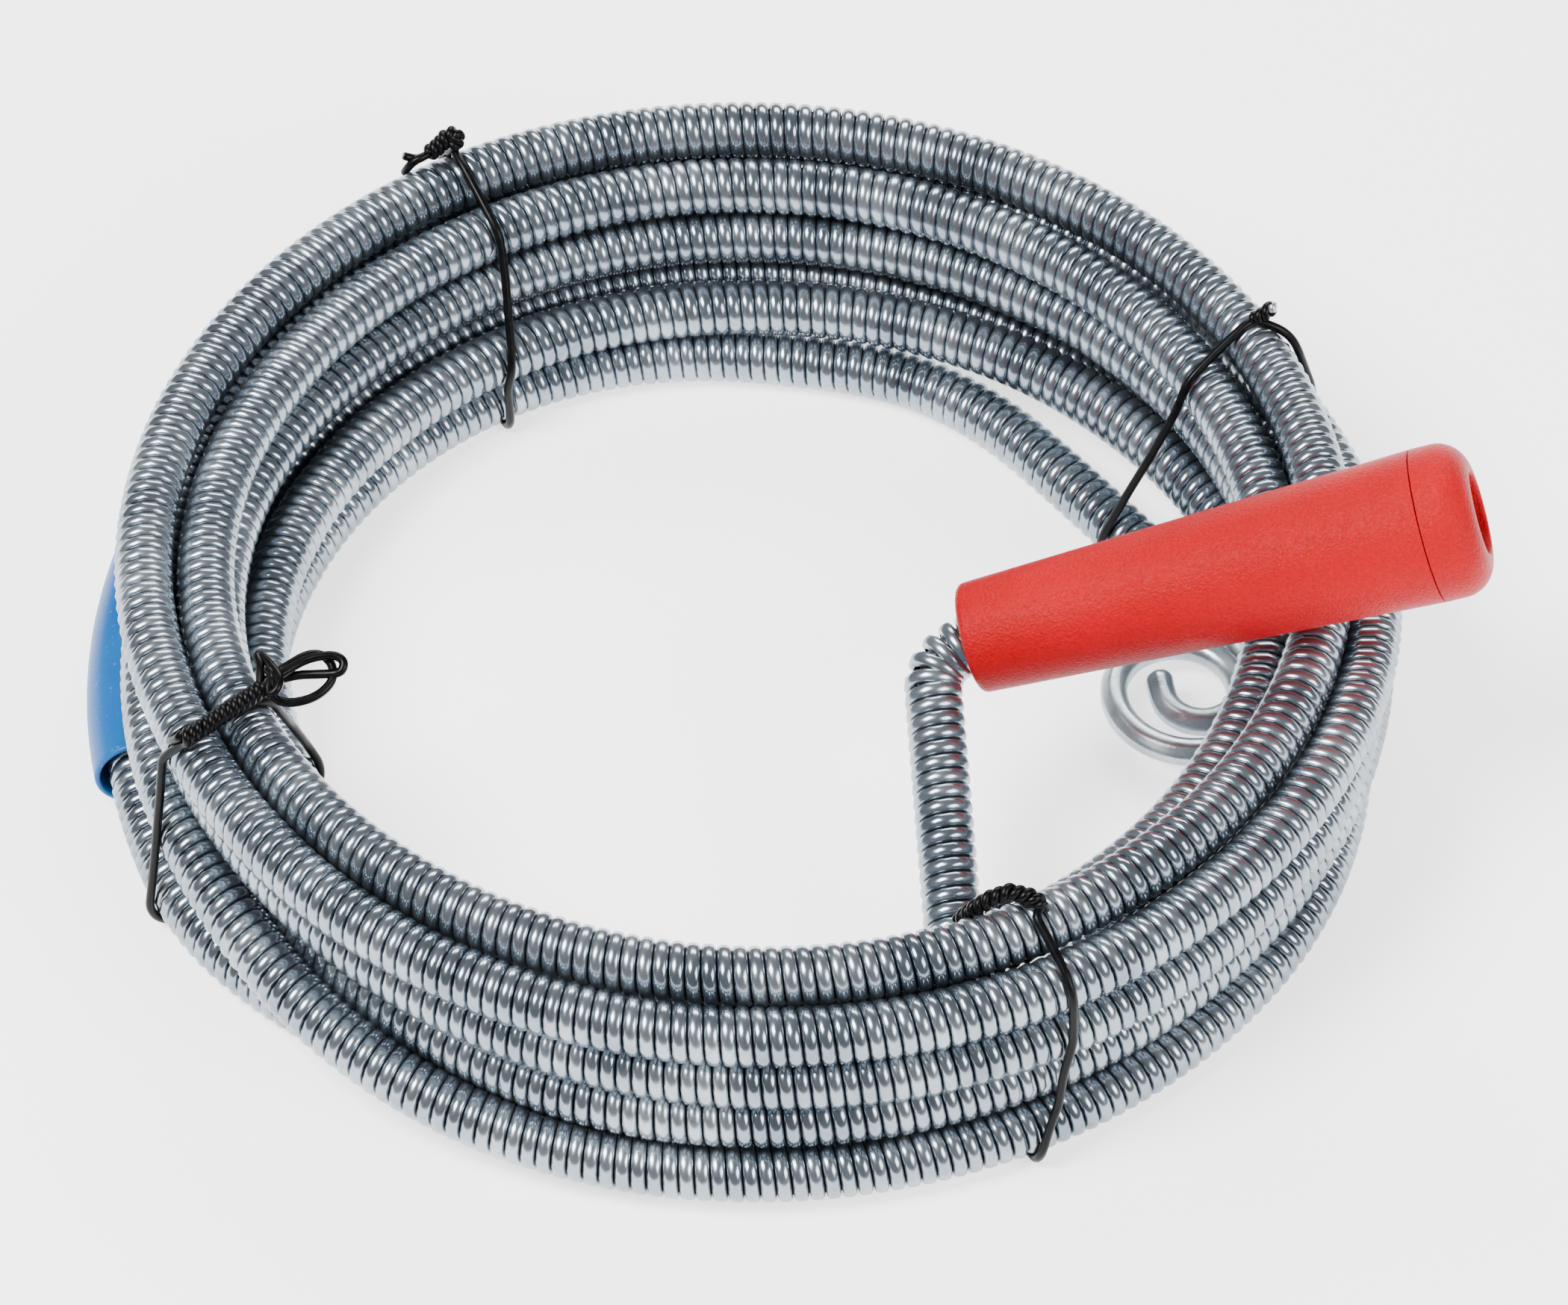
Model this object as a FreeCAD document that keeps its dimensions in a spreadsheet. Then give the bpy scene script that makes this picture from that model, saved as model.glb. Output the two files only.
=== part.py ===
import FreeCAD, Part
import math
import os

import Sketcher

# Drain auger: a closely wound spring cable, coiled and tied, with a cranked
# handle end that carries a turning grip, a sliding guide sleeve on one turn
# and a pigtail head at the other end.
# Millimetres.  +Z is up and the coil lies on the plane z = 0.  The origin is
# below the middle of the whole object, and the coil's axis is parallel to Z.

doc = FreeCAD.newDocument("drain_auger")
sheet = doc.addObject("Spreadsheet::Sheet", "Sizes")

SIZES = [
    # the coil
    ("coil_axis_x", -2.9),          # the coil's axis stands here, at y = 0
    ("cable_dia", 9.0),             # outside of the wound cable
    ("cable_bore", 4.6),            # the hollow core inside the windings
    # outline of the coil's section, anticlockwise from its inner foot
    ("edge_r_a", 70.0), ("edge_z_a", 0.0),
    ("edge_r_b", 96.0), ("edge_z_b", 0.0),
    ("edge_r_c", 99.0), ("edge_z_c", 4.0),
    ("edge_r_d", 99.0), ("edge_z_d", 27.0),
    ("edge_r_e", 97.0), ("edge_z_e", 36.0),
    ("edge_r_f", 93.0), ("edge_z_f", 39.5),
    ("edge_r_g", 80.5), ("edge_z_g", 39.5),
    ("edge_r_h", 75.5), ("edge_z_h", 35.5),
    ("edge_r_i", 66.0), ("edge_z_i", 18.0),
    ("edge_r_j", 66.0), ("edge_z_j", 4.0),
    # the turn that carries the guide sleeve, and the room round it
    ("lane_radius", 96.5),
    ("lane_height", 7.0),
    ("lane_start", 126.0),
    ("lane_sweep", 76.0),
    ("lane_room_inner", 89.6),
    ("lane_room_top", 14.2),
    # the guide sleeve
    ("sleeve_radius", 96.9),
    ("sleeve_dia", 13.0),
    ("sleeve_bore", 10.8),
    ("sleeve_start", 148.0),
    ("sleeve_sweep", 44.0),
    # the core rod of the crank
    ("core_dia", 4.4),
    # the grip, along its own axis from the corner of the crank
    ("grip_face", 6.2),
    ("grip_length", 71.0),
    ("grip_small_dia", 17.0),
    ("grip_large_dia", 23.3),
    ("grip_bore", 9.8),
    ("cap_length", 8.0),
    ("cap_spigot", 4.0),
    ("cap_spigot_dia", 17.0),
    ("cap_round", 4.5),
    ("end_hole_dia", 12.4),
    ("end_hole_depth", 6.5),
    ("shaft_end", 70.0),
    ("washer_dia", 11.4),
    ("washer_thick", 1.2),
    ("washer_gap", 0.4),
    ("lock_dia", 9.0),
    ("lock_thick", 2.0),
    # the pigtail head
    ("head_wire_dia", 4.4),
    ("head_pocket_dia", 32.0),
    ("head_pocket_top", 9.3),
    # the ties
    ("tie_thick", 1.7),
    ("tie_width", 1.9),
    ("twist_dia", 3.2),
    ("loop_dia", 9.2),
]

for row, (alias, value) in enumerate(SIZES, start=1):
    sheet.set("A%d" % row, alias)
    sheet.set("B%d" % row, str(value))
    sheet.setAlias("B%d" % row, alias)
doc.recompute()


def size(alias):
    """Read one size back from the sheet."""
    return float(sheet.get(alias))


def bind(target, prop, expression):
    """Tie a property to the sheet; names in braces are its aliases."""
    target.setExpression(prop, expression.replace("{", "Sizes.").replace("}", ""))


def vector(x, y, z):
    return FreeCAD.Vector(x, y, z)


COIL_X = size("coil_axis_x")
EDGE_NAMES = "abcdefghij"


# ---------------------------------------------------------------- routes
# Points of the two uncoiled stretches of cable, from the coil's axis.

CRANK_ROUTE = [
    (15.0, -75.0, 13.5),     # in the coil, on the lane of the cable's first turn
    (29.7, -70.5, 13.5),     # lower corner, where the cable turns up
    (25.8, -18.8, 34.0),     # upper corner, where the grip begins
]
CRANK_BENDS = [8.0, 6.5]     # folded tight round the core rod
GRIP_AZIMUTH = 2.5           # the grip's axis, from +X towards +Y
GRIP_RISE = 18.1             # and up from the horizontal

TAIL_ROUTE = [
    (31.0, 63.5, 4.5),       # leaves the innermost turn
    (55.5, 34.5, 4.5),
    (71.5, 12.2, 4.5),       # end of the windings, where the head's wire comes out
]
HEAD_SHANK = 15.0            # wire held inside the end of the cable
HEAD_LEAD = 9.0              # straight wire between the cable and the first curl
HEAD_CURLS = [               # (radius, turned angle), clockwise from above
    (12.0, 215.0),
    (9.7, 180.0),
    (5.9, 180.0),
    (6.0, 30.0),
]


def at_coil(point):
    """A point given from the coil's axis, in the part's own frame."""
    return vector(point[0] + COIL_X, point[1], point[2])


azimuth = math.radians(GRIP_AZIMUTH)
rise = math.radians(GRIP_RISE)
grip_direction = vector(
    math.cos(azimuth) * math.cos(rise),
    math.sin(azimuth) * math.cos(rise),
    math.sin(rise),
)
crank_corner = at_coil(CRANK_ROUTE[2])


def along_grip(distance):
    """The point on the grip's axis at a distance from the crank's corner."""
    return crank_corner + grip_direction * distance


def rounded_wire(points, bends):
    """Straight runs joined by tangent arcs, one bend radius per inner point."""
    edges = []
    start = points[0]
    for index, radius in enumerate(bends, start=1):
        corner = points[index]
        back = (points[index - 1] - corner).normalize()
        ahead = (points[index + 1] - corner).normalize()
        turn = math.pi - back.getAngle(ahead)
        reach = radius * math.tan(turn / 2)
        arc_start = corner + back * reach
        arc_end = corner + ahead * reach
        middle = (back + ahead).normalize()
        depth = radius / math.cos(turn / 2) - radius
        edges.append(Part.LineSegment(start, arc_start).toShape())
        edges.append(Part.Arc(arc_start, corner + middle * depth, arc_end).toShape())
        start = arc_end
    edges.append(Part.LineSegment(start, points[-1]).toShape())
    return Part.Wire(edges)


def curled_wire(start, heading, straight, curls):
    """A straight lead and then level clockwise arcs of the given radii."""
    edges = []
    point = start + heading * straight
    edges.append(Part.LineSegment(start, point).toShape())
    for radius, degrees in curls:
        inward = vector(heading.y, -heading.x, 0)
        centre = point + inward * radius
        turn = FreeCAD.Rotation(vector(0, 0, 1), -degrees)
        half_turn = FreeCAD.Rotation(vector(0, 0, 1), -degrees / 2)
        middle = centre + half_turn.multVec(point - centre)
        end = centre + turn.multVec(point - centre)
        edges.append(Part.Arc(point, middle, end).toShape())
        heading = turn.multVec(heading)
        point = end
    return Part.Wire(edges)


def swept(name, label, wire, diameter):
    """A round solid along a wire; diameter is an expression on the sheet."""
    path = doc.addObject("Part::Feature", name + "_path")
    path.Shape = wire
    section = doc.addObject("Part::Circle", name + "_section")
    bind(section, "Radius", "(" + diameter + ") / 2")
    first = wire.OrderedEdges[0]
    tangent = first.tangentAt(first.FirstParameter)
    turn = FreeCAD.Rotation(vector(0, 0, 1), tangent)
    section.Placement = FreeCAD.Placement(first.valueAt(first.FirstParameter), turn)
    solid = doc.addObject("Part::Sweep", name)
    solid.Sections = [section]
    solid.Spine = (path, ["Edge%d" % (i + 1) for i in range(len(wire.Edges))])
    solid.Solid = True
    solid.Frenet = False
    solid.Transition = "Transformed"
    solid.Label = label
    doc.recompute()
    radius = section.Shape.Edges[0].Curve.Radius
    expected = math.pi * radius ** 2 * wire.Length
    print(label, "volume over section times length:", round(solid.Shape.Volume / expected, 4))
    return solid


def cut(name, label, base, tools):
    """base with every tool taken out of it."""
    if len(tools) == 1:
        tool = tools[0]
    else:
        tool = doc.addObject("Part::MultiFuse", name + "_tools")
        tool.Shapes = tools
    result = doc.addObject("Part::Cut", name)
    result.Base = base
    result.Tool = tool
    result.Label = label
    return result


def profile(body, name, plane, loops):
    """A sketch of closed loops; every corner is two expressions on the sheet."""
    sketch = body.newObject("Sketcher::SketchObject", name)
    sketch.AttachmentSupport = [(plane, "")]
    sketch.MapMode = "FlatFace"
    for loop in loops:
        first = sketch.GeometryCount
        values = [(across[0], up[0]) for across, up in loop]
        for index, corner in enumerate(values):
            following = values[(index + 1) % len(values)]
            sketch.addGeometry(
                Part.LineSegment(vector(corner[0], corner[1], 0),
                                 vector(following[0], following[1], 0)), False)
        for index in range(len(loop)):
            following = first + (index + 1) % len(loop)
            sketch.addConstraint(
                Sketcher.Constraint("Coincident", first + index, 2, following, 1))
        for index, (across, up) in enumerate(loop):
            line = first + index
            for kind, axis_line, (value, expression) in (
                    ("DistanceX", -2, across), ("DistanceY", -1, up)):
                if abs(value) < 1e-9:
                    sketch.addConstraint(
                        Sketcher.Constraint("PointOnObject", line, 1, axis_line))
                    continue
                label = "%s_%s%d" % (name, kind, line)
                number = sketch.addConstraint(
                    Sketcher.Constraint(kind, -1, 1, line, 1, value))
                sketch.renameConstraint(number, label)
                bind(sketch, "Constraints." + label, expression)
    return sketch


def origin_plane(body, role):
    """One of a body's own origin planes or axes."""
    for feature in body.Origin.OriginFeatures:
        if feature.Role == role:
            return feature
    raise ValueError(role)


def revolved(name, label, loop, placement):
    """A body turned from a closed loop of (radius, along) corners about its Z axis."""
    body = doc.addObject("PartDesign::Body", name)
    body.Label = label
    sketch = profile(body, name + "_sketch", origin_plane(body, "XZ_Plane"), [loop])
    turned = body.newObject("PartDesign::Revolution", name + "_turned")
    turned.Profile = sketch
    turned.ReferenceAxis = (origin_plane(body, "Z_Axis"), [""])
    turned.Angle = 360
    body.Tip = turned
    body.Placement = placement
    sketch.Visibility = False
    doc.recompute()
    return body


def corner(across, up):
    """A sketch corner from two expressions: each with its present value."""
    found = []
    for expression in (across, up):
        text = expression
        for alias, _ in SIZES:
            text = text.replace("{" + alias + "}", repr(size(alias)))
        found.append((arithmetic(text), expression))
    return tuple(found)


def arithmetic(text):
    """The value of a sum of terms such as 17.0 / 2 or 0.7 * 1.7."""
    total = 0.0
    for term in text.replace("- ", "+ -").split("+ "):
        factor = 1.0
        divide = False
        for word in term.split():
            if word == "/":
                divide = True
            elif word == "*":
                divide = False
            else:
                factor = factor / float(word) if divide else factor * float(word)
                divide = False
        total += factor
    return total


# ---------------------------------------------------------------- the cable
coil_place = FreeCAD.Placement(vector(COIL_X, 0, 0), FreeCAD.Rotation())
coil_loop = [corner("{edge_r_%s}" % n, "{edge_z_%s}" % n) for n in EDGE_NAMES]
coil_ring = revolved("CoilRing", "coil_ring", coil_loop, coil_place)

lane_turn = FreeCAD.Rotation(vector(0, 0, 1), size("lane_start"))
lane_place = FreeCAD.Placement(vector(COIL_X, 0, size("lane_height")), lane_turn)
sleeve_run = doc.addObject("Part::Torus", "SleeveRun")
sleeve_run.Label = "cable_sleeve_run"
bind(sleeve_run, "Radius1", "{lane_radius}")
bind(sleeve_run, "Radius2", "{cable_dia} / 2")
bind(sleeve_run, "Angle3", "{lane_sweep}")
sleeve_run.Placement = lane_place

room_place = FreeCAD.Placement(vector(COIL_X, 0, -1), lane_turn)
room_outer = doc.addObject("Part::Cylinder", "LaneRoomOuter")
bind(room_outer, "Radius", "{edge_r_d} + 6")
bind(room_outer, "Height", "{lane_room_top} + 1")
bind(room_outer, "Angle", "{lane_sweep}")
room_outer.Placement = room_place
room_inner = doc.addObject("Part::Cylinder", "LaneRoomInner")
bind(room_inner, "Radius", "{lane_room_inner}")
bind(room_inner, "Height", "{lane_room_top} + 2")
room_inner.Placement = room_place
lane_room = cut("LaneRoom", "lane_room", room_outer, [room_inner])

shaft_end = along_grip(size("shaft_end"))
crank_points = [at_coil(p) for p in CRANK_ROUTE] + [shaft_end]
crank_wire = rounded_wire(crank_points, CRANK_BENDS)
print("crank bend radii:", CRANK_BENDS, "folded round the core rod")
crank_solid = swept("CrankSolid", "crank_solid", crank_wire, "{cable_dia}")
crank_hollow = swept("CrankHollow", "crank_hollow", crank_wire, "{cable_bore}")
crank_cable = cut("CrankCable", "crank_cable", crank_solid, [crank_hollow])

tail_points = [at_coil(p) for p in TAIL_ROUTE]
runs = [(tail_points[i + 1] - tail_points[i]).Length for i in range(2)]
turn = (tail_points[1] - tail_points[0]).getAngle(tail_points[2] - tail_points[1])
tail_radius = 0.45 * min(runs) / math.tan(turn / 2)
print("tail bend radius:", round(tail_radius, 1))
tail_wire = rounded_wire(tail_points, [tail_radius])
tail_solid = swept("TailSolid", "tail_solid", tail_wire, "{cable_dia}")
tail_hollow = swept("TailHollow", "tail_hollow", tail_wire, "{cable_bore}")
cable_tail = cut("CableTail", "cable_tail", tail_solid, [tail_hollow])

# ---------------------------------------------------------------- the head
tail_heading = (tail_points[2] - tail_points[1]).normalize()
head_start = tail_points[2] - tail_heading * HEAD_SHANK
head_wire = curled_wire(head_start, tail_heading, HEAD_SHANK + HEAD_LEAD, HEAD_CURLS)
auger_head = swept("AugerHead", "auger_head", head_wire, "{head_wire_dia}")

curl_centre = tail_points[2] + tail_heading * HEAD_LEAD
curl_centre = curl_centre + vector(tail_heading.y, -tail_heading.x, 0) * HEAD_CURLS[0][0]
head_room = doc.addObject("Part::Cylinder", "HeadRoom")
bind(head_room, "Radius", "{head_pocket_dia} / 2")
bind(head_room, "Height", "{head_pocket_top} + 1")
head_room.Placement = FreeCAD.Placement(
    vector(curl_centre.x, curl_centre.y, -1), FreeCAD.Rotation())

# open channel under the last run of the cable, so no thin edge is left there
tail_slot = doc.addObject("Part::Box", "TailSlot")
tail_slot.Length = runs[1]    # as long as the route's last run
bind(tail_slot, "Width", "{cable_dia}")
bind(tail_slot, "Height", "{cable_dia} / 2 + 1")
slot_side = vector(-tail_heading.y, tail_heading.x, 0) * (size("cable_dia") / 2)
slot_foot = vector(tail_points[1].x, tail_points[1].y, -1) - slot_side
tail_slot.Placement = FreeCAD.Placement(
    slot_foot, FreeCAD.Rotation(vector(1, 0, 0), tail_heading))

# ---------------------------------------------------------------- the crank
core_wire = rounded_wire(
    crank_points[:3] + [along_grip(size("shaft_end") + 5.5)], CRANK_BENDS)
crank_core = swept("CrankCore", "crank_core", core_wire, "{core_dia}")

grip_turn = FreeCAD.Rotation(vector(0, 0, 1), grip_direction)
grip_place = FreeCAD.Placement(along_grip(size("grip_face")), grip_turn)


def tube_loop(start, end, inner, outer):
    """The section of a plain ring between two stations on its axis."""
    return [corner(inner, start), corner(outer, start), corner(outer, end), corner(inner, end)]


grip_body = revolved("GripBody", "grip_body", [
    corner("{grip_bore} / 2", "0.8"),
    corner("{grip_bore} / 2 + 0.8", "0"),
    corner("{grip_small_dia} / 2 - 0.9", "0"),
    corner("{grip_small_dia} / 2", "0.9"),
    corner("{grip_large_dia} / 2", "{grip_length}"),
    corner("{cap_spigot_dia} / 2", "{grip_length}"),
    corner("{cap_spigot_dia} / 2", "{grip_length} - {cap_spigot}"),
    corner("{end_hole_dia} / 2", "{grip_length} - {cap_spigot}"),
    corner("{end_hole_dia} / 2", "{grip_length} - {end_hole_depth}"),
    corner("{grip_bore} / 2", "{grip_length} - {end_hole_depth}"),
], grip_place)

cap_place = FreeCAD.Placement(
    along_grip(size("grip_face") + size("grip_length")), grip_turn)
cap_blank = revolved("CapBlank", "cap_blank", [
    corner("{end_hole_dia} / 2", "0 - {cap_spigot}"),
    corner("{cap_spigot_dia} / 2", "0 - {cap_spigot}"),
    corner("{cap_spigot_dia} / 2", "0"),
    corner("{grip_large_dia} / 2", "0"),
    corner("{grip_large_dia} / 2", "{cap_length}"),
    corner("{end_hole_dia} / 2", "{cap_length}"),
], FreeCAD.Placement())
rim = []
for index, edge in enumerate(cap_blank.Shape.Edges, start=1):
    if not isinstance(edge.Curve, Part.Circle) or not edge.isClosed():
        continue
    if abs(edge.CenterOfMass.z - size("cap_length")) > 0.01:
        continue
    outside = edge.Curve.Radius * 2 > size("end_hole_dia") + 1
    rounding = size("cap_round") if outside else 0.8
    rim.append((index, rounding, rounding))
grip_end_cap = doc.addObject("Part::Fillet", "GripEndCap")
grip_end_cap.Label = "grip_end_cap"
grip_end_cap.Base = cap_blank
grip_end_cap.Edges = rim
grip_end_cap.Placement = cap_place

floor_station = size("grip_face") + size("grip_length") - size("end_hole_depth")
washer_station = floor_station + size("washer_gap")
washer_place = FreeCAD.Placement(along_grip(washer_station), grip_turn)
grip_washer = revolved("GripWasher", "grip_washer", tube_loop(
    "0", "{washer_thick}", "{core_dia} / 2 + 0.1", "{washer_dia} / 2"), washer_place)
lock_station = washer_station + size("washer_thick")
lock_place = FreeCAD.Placement(along_grip(lock_station), grip_turn)
core_lock = revolved("CoreLock", "core_lock", tube_loop(
    "0", "{lock_thick}", "{core_dia} / 2", "{lock_dia} / 2"), lock_place)
print("core end station", size("shaft_end") + 5.5, "lock ends at", lock_station + size("lock_thick"))

# ---------------------------------------------------------------- the sleeve
sleeve_height = size("lane_height")


def sleeve_torus(name, bore, start, sweep):
    """A stretch of torus about the coil's axis, on the sleeve's centre line."""
    torus = doc.addObject("Part::Torus", name)
    bind(torus, "Radius1", "{sleeve_radius}")
    bind(torus, "Radius2", bore + " / 2")
    bind(torus, "Angle3", sweep)
    torus.Placement = FreeCAD.Placement(
        vector(COIL_X, 0, sleeve_height), FreeCAD.Rotation(vector(0, 0, 1), start))
    return torus


sleeve_start = size("sleeve_start")
sleeve_outside = sleeve_torus("SleeveOutside", "{sleeve_dia}", sleeve_start, "{sleeve_sweep}")
sleeve_inside = sleeve_torus("SleeveInside", "{sleeve_bore}", sleeve_start - 2, "{sleeve_sweep} + 4")
guide_sleeve = cut("GuideSleeve", "guide_sleeve", sleeve_outside, [sleeve_inside])

# ---------------------------------------------------------------- the ties


def band_loops():
    """The coil's outline and the same outline one tie thickness further out."""
    inner = []
    outer = []
    count = len(EDGE_NAMES)
    spots = [(size("edge_r_" + n), size("edge_z_" + n)) for n in EDGE_NAMES]
    for index, name in enumerate(EDGE_NAMES):
        before = spots[index - 1]
        here = spots[index]
        after = spots[(index + 1) % count]
        normals = []
        for one, other in ((before, here), (here, after)):
            run = math.hypot(other[0] - one[0], other[1] - one[1])
            normals.append(((other[1] - one[1]) / run, (one[0] - other[0]) / run))
        scale = 1.0 + normals[0][0] * normals[1][0] + normals[0][1] * normals[1][1]
        across = (normals[0][0] + normals[1][0]) / scale
        up = (normals[0][1] + normals[1][1]) / scale
        lift = "{tie_thick} + " if here[1] < 0.1 else ""
        inner.append(corner("{edge_r_%s}" % name, lift + "{edge_z_%s}" % name))
        outer.append(corner(
            "{edge_r_%s} + %.3f * {tie_thick}" % (name, across),
            lift + "{edge_z_%s} + %.3f * {tie_thick}" % (name, up)))
    return [outer, inner]


def tie_band(name, degrees):
    """A band round the coil's section, standing across it at an azimuth."""
    body = doc.addObject("PartDesign::Body", name + "Band")
    sketch = profile(body, name + "Outline", origin_plane(body, "XZ_Plane"), band_loops())
    pad = body.newObject("PartDesign::Pad", name + "Pad")
    pad.Profile = sketch
    bind(pad, "Length", "{tie_width}")
    pad.Midplane = True
    body.Tip = pad
    around = FreeCAD.Rotation(vector(0, 0, 1), degrees)
    body.Placement = FreeCAD.Placement(vector(COIL_X, 0, 0), around)
    doc.recompute()
    return body


def on_section(degrees, radius, height, sideways=0.0):
    """A point from its azimuth, its radius and a shift along the turn."""
    angle = math.radians(degrees)
    return vector(
        COIL_X + radius * math.cos(angle) - sideways * math.sin(angle),
        radius * math.sin(angle) + sideways * math.cos(angle),
        height)


def twist(name, start, end):
    """The twisted ends of a tie, as one plain rod with a rounded tip."""
    rod = doc.addObject("Part::Cylinder", name + "Rod")
    bind(rod, "Radius", "{twist_dia} / 2")
    rod.Height = (end - start).Length
    turn = FreeCAD.Rotation(vector(0, 0, 1), end - start)
    rod.Placement = FreeCAD.Placement(start, turn)
    tip = doc.addObject("Part::Sphere", name + "Tip")
    bind(tip, "Radius", "{twist_dia} / 2")
    tip.Placement = FreeCAD.Placement(end, turn)
    return [rod, tip]


TIES = [
    # name, label, azimuth, twist's start and end as (radius, height, sideways),
    # and the uncoiled stretch of cable that passes through the band, if any
    ("TieBackLeft", "tie_back_left", 121.0, (95.5, 39.6, -1.0), (94.5, 41.0, 9.0), None),
    ("TieBackRight", "tie_back_right", 30.0, (95.0, 39.8, 0.0), (97.5, 43.5, 3.0), tail_solid),
    ("TieFrontLeft", "tie_front_left", 204.0, (93.5, 40.9, -0.6), (79.0, 42.0, -3.0), None),
    ("TieFrontRight", "tie_front_right", 298.0, (80.5, 41.0, 0.0), (77.0, 40.5, -9.0), crank_solid),
]
LOOPED_TIE = "tie_front_left"
LOOP_PLACE = (73.6, 42.6, -3.5)     # radius, height, sideways of the loop's centre
LOOP_TILT = 12.0

tie_nodes = []
for name, label, degrees, start, end, crossing in TIES:
    pieces = [tie_band(name, degrees)] + twist(
        name,
        on_section(degrees, start[0], start[1], start[2]),
        on_section(degrees, end[0], end[1], end[2]))
    if label == LOOPED_TIE:
        loop = doc.addObject("Part::Torus", name + "Loop")
        bind(loop, "Radius1", "{loop_dia} / 2")
        bind(loop, "Radius2", "{tie_thick} / 2")
        flat = FreeCAD.Rotation(vector(0, 1, 0), LOOP_TILT)
        loop.Placement = FreeCAD.Placement(on_section(degrees, *LOOP_PLACE), flat)
        pieces.append(loop)
    joined = doc.addObject("Part::MultiFuse", name)
    joined.Shapes = pieces
    if crossing is None:
        joined.Label = label
        tie_nodes.append(joined)
    else:
        tie_nodes.append(cut(name + "Open", label, joined, [crossing]))
doc.recompute()

# The coil is the ring without the room for the sleeve, the head, the two
# uncoiled stretches of cable and the ties, which all meet it face to face.
cable_coil = cut("CableCoil", "cable_coil", coil_ring, [
    lane_room, crank_solid, tail_solid, tail_slot, head_room, auger_head] + tie_nodes)
doc.recompute()

# ---------------------------------------------------------------- export
NODES = [
    cable_coil, sleeve_run, crank_cable, cable_tail, crank_core, auger_head,
    grip_body, grip_end_cap, grip_washer, core_lock, guide_sleeve,
] + tie_nodes

os.makedirs("parts", exist_ok=True)
for item in doc.Objects:
    if "Invalid" in item.State or "Error" in item.State:
        raise RuntimeError("%s: %s" % (item.Name, item.State))
bounds = FreeCAD.BoundBox()
for node in NODES:
    shape = node.Shape
    if shape.isNull() or not shape.isValid() or not shape.Solids:
        raise RuntimeError("bad shape: " + node.Label)
    shape.exportStep(os.path.join("parts", node.Label + ".step"))
    bounds.add(shape.BoundBox)
    print("%-18s solids %d volume %.1f" % (node.Label, len(shape.Solids), shape.Volume))
print("x", round(bounds.XMin, 2), round(bounds.XMax, 2),
      "y", round(bounds.YMin, 2), round(bounds.YMax, 2),
      "z", round(bounds.ZMin, 2), round(bounds.ZMax, 2))
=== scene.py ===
import math

import bmesh
import bpy
import numpy as np
from mathutils import Matrix, Vector


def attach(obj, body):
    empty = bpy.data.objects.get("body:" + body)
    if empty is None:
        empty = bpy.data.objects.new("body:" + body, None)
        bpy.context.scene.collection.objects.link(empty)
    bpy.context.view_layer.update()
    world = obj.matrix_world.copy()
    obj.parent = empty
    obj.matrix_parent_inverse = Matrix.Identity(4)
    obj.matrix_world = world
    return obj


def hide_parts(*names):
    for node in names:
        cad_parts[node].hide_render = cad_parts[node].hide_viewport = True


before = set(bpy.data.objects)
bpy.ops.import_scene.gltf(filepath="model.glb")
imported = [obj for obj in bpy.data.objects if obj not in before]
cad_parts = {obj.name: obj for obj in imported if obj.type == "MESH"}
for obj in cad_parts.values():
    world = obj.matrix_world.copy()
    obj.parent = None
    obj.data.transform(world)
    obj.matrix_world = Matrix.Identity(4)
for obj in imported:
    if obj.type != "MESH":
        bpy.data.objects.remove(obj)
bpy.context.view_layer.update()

# Looks of a coiled drain auger.  Metres; +Z is up and the coil lies on z = 0.
# Small sizes are written in millimetres and turned to metres by MM.

MM = 0.001
COIL_X = -2.9                 # the coil's axis, from the middle of the object
CABLE = 9.0                   # outside of the wound cable
WIRE = 2.3                    # the wire it is wound from


def vec(x, y, z):
    """A point in millimetres from the coil's axis, as metres in the row frame."""
    return Vector(((x + COIL_X) * MM, y * MM, z * MM))


# ------------------------------------------------------------------ camera
PICTURE_WIDTH = 2100
PICTURE_SHIFT = (35, -31)     # of the view's middle, on a picture of that width
VIEW_HEIGHT = 48.7            # degrees above the horizontal
VIEW_DISTANCE = 1.145
VIEW_TARGET = Vector((COIL_X * MM, 0.0, 0.017))
LENS = 171.43
SENSOR_WIDTH = 36.0


def make_camera():
    rise = math.radians(VIEW_HEIGHT)
    data = bpy.data.cameras.new("camera")
    data.lens = LENS
    data.sensor_width = SENSOR_WIDTH
    data.shift_x, data.shift_y = [shift / PICTURE_WIDTH for shift in PICTURE_SHIFT]
    data.clip_start = 0.05
    camera = bpy.data.objects.new("camera", data)
    bpy.context.collection.objects.link(camera)
    away = Vector((0.0, -math.cos(rise), math.sin(rise)))
    camera.location = VIEW_TARGET + away * VIEW_DISTANCE
    camera.rotation_euler = (math.pi / 2 - rise, 0.0, 0.0)
    bpy.context.scene.camera = camera


make_camera()

# ------------------------------------------------------------------ the cable's line
# The crank's points, repeated from the design, then the coil's turns, then the tail.
GRIP_AZIMUTH = 2.5            # the grip's axis, from +X towards +Y
GRIP_RISE = 18.1              # and above the horizontal
CRANK_LANE = (15.0, -75.0, 13.5)
CRANK_LOWER = (29.7, -70.5, 13.5)
CRANK_UPPER = (25.8, -18.8, 34.0)
TAIL = [(31.0, 63.5, 4.5), (55.5, 34.5, 4.5), (71.5, 12.2, 4.5)]
GRIP_INSIDE = 13.0            # the cord starts this far along the grip's axis
NEAR_UPPER = 13.0             # points on the arm, this far from its corners
NEAR_LOWER = 15.4

grip_axis = Vector((
    math.cos(math.radians(GRIP_AZIMUTH)) * math.cos(math.radians(GRIP_RISE)),
    math.sin(math.radians(GRIP_AZIMUTH)) * math.cos(math.radians(GRIP_RISE)),
    math.sin(math.radians(GRIP_RISE))))
crank_corner = vec(*CRANK_UPPER)


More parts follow.
